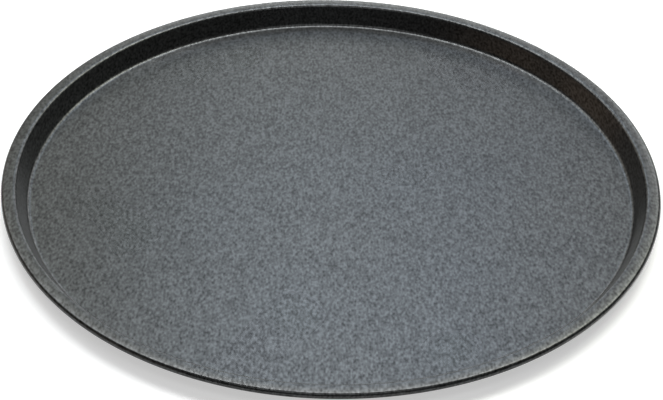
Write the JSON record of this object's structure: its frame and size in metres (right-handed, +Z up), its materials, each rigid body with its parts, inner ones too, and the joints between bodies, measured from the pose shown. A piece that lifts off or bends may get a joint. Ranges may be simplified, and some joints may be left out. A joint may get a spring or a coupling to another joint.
{
  "type": "pizza pan",
  "caption": "Round shallow pizza pan: flat floor, low flared wall and a narrow flange whose edge is rolled round a stiffening wire.",
  "frame": {"origin": "centre of the underside of the floor, on the surface that the pan stands on", "axes": "+Z up along the pan's axis, out of the open side; X and Y are any two square directions across the round pan"},
  "size_m": [0.32, 0.32, 0.0105],
  "materials": {
    "coated_sheet": "satin charcoal non-stick coat with fine pale and dark flecks",
    "wire_steel": "drawn bright wire"
  },
  "bodies": {
    "root": {"pan_sheet": "coated_sheet", "rim_wire": "wire_steel"}
  },
  "joints": []
}
